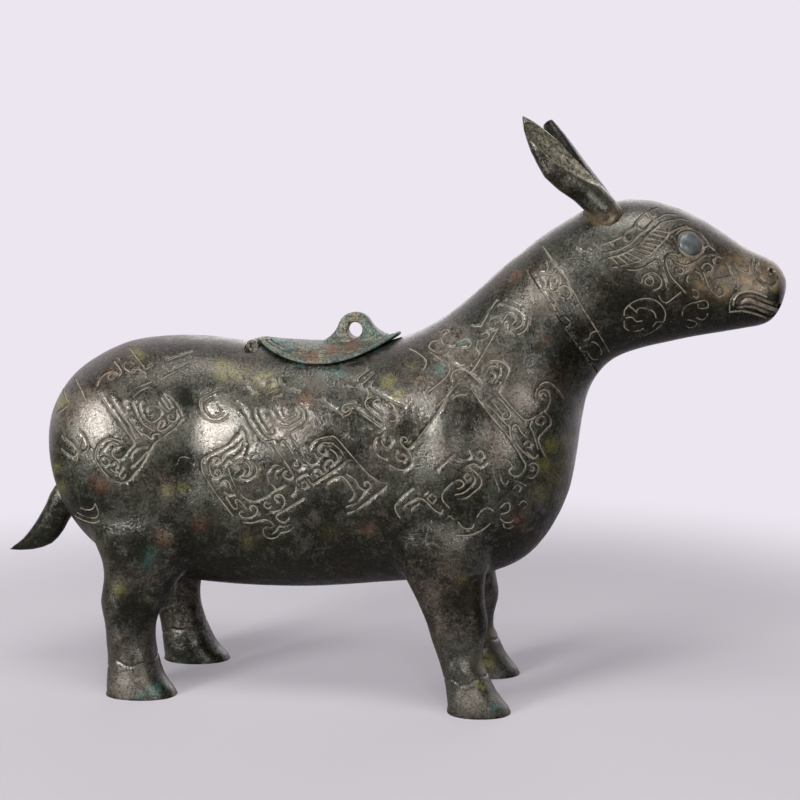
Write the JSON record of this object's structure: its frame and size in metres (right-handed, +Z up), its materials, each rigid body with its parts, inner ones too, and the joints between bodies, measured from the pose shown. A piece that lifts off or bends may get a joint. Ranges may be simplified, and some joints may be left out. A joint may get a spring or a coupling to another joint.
{
  "type": "animal-shaped wine vessel",
  "caption": "Hollow cast bronze wine vessel in the form of a standing hoofed animal, with an oval hinged lid and a lifting loop on its back.",
  "frame": {"origin": "on the ground, under the middle of the vessel's length and width", "axes": "+X towards the nose, +Y to the animal's left, +Z up"},
  "size_m": [0.3, 0.07, 0.2171],
  "materials": {
    "bronze": "dark brown-green patina, rubbed on the high places",
    "lid_bronze": "green patina, rubbed on the rim",
    "eye_stone": "polished grey stone",
    "clay": "fired clay core"
  },
  "bodies": {
    "vessel": {"body_shell": "bronze", "head_shell": "bronze", "right_ear": "bronze", "left_ear": "bronze", "right_eye": "eye_stone", "left_eye": "eye_stone", "tail": "bronze", "right_fore_leg": "bronze", "left_fore_leg": "bronze", "right_hind_leg": "bronze", "left_hind_leg": "bronze", "right_fore_core": "clay", "left_fore_core": "clay", "right_hind_core": "clay", "left_hind_core": "clay", "hinge_bracket": "bronze", "hinge_pin": "bronze"},
    "lid": {"lid": "lid_bronze", "lid_loop": "lid_bronze", "lid_knuckle": "lid_bronze"}
  },
  "joints": [
    {"name": "lid_hinge", "type": "hinge", "parent": "vessel", "child": "lid", "pos_m": [-0.04538, 0, 0.13273], "axis": [0, -1, 0], "range_deg": [0, 100]}
  ]
}
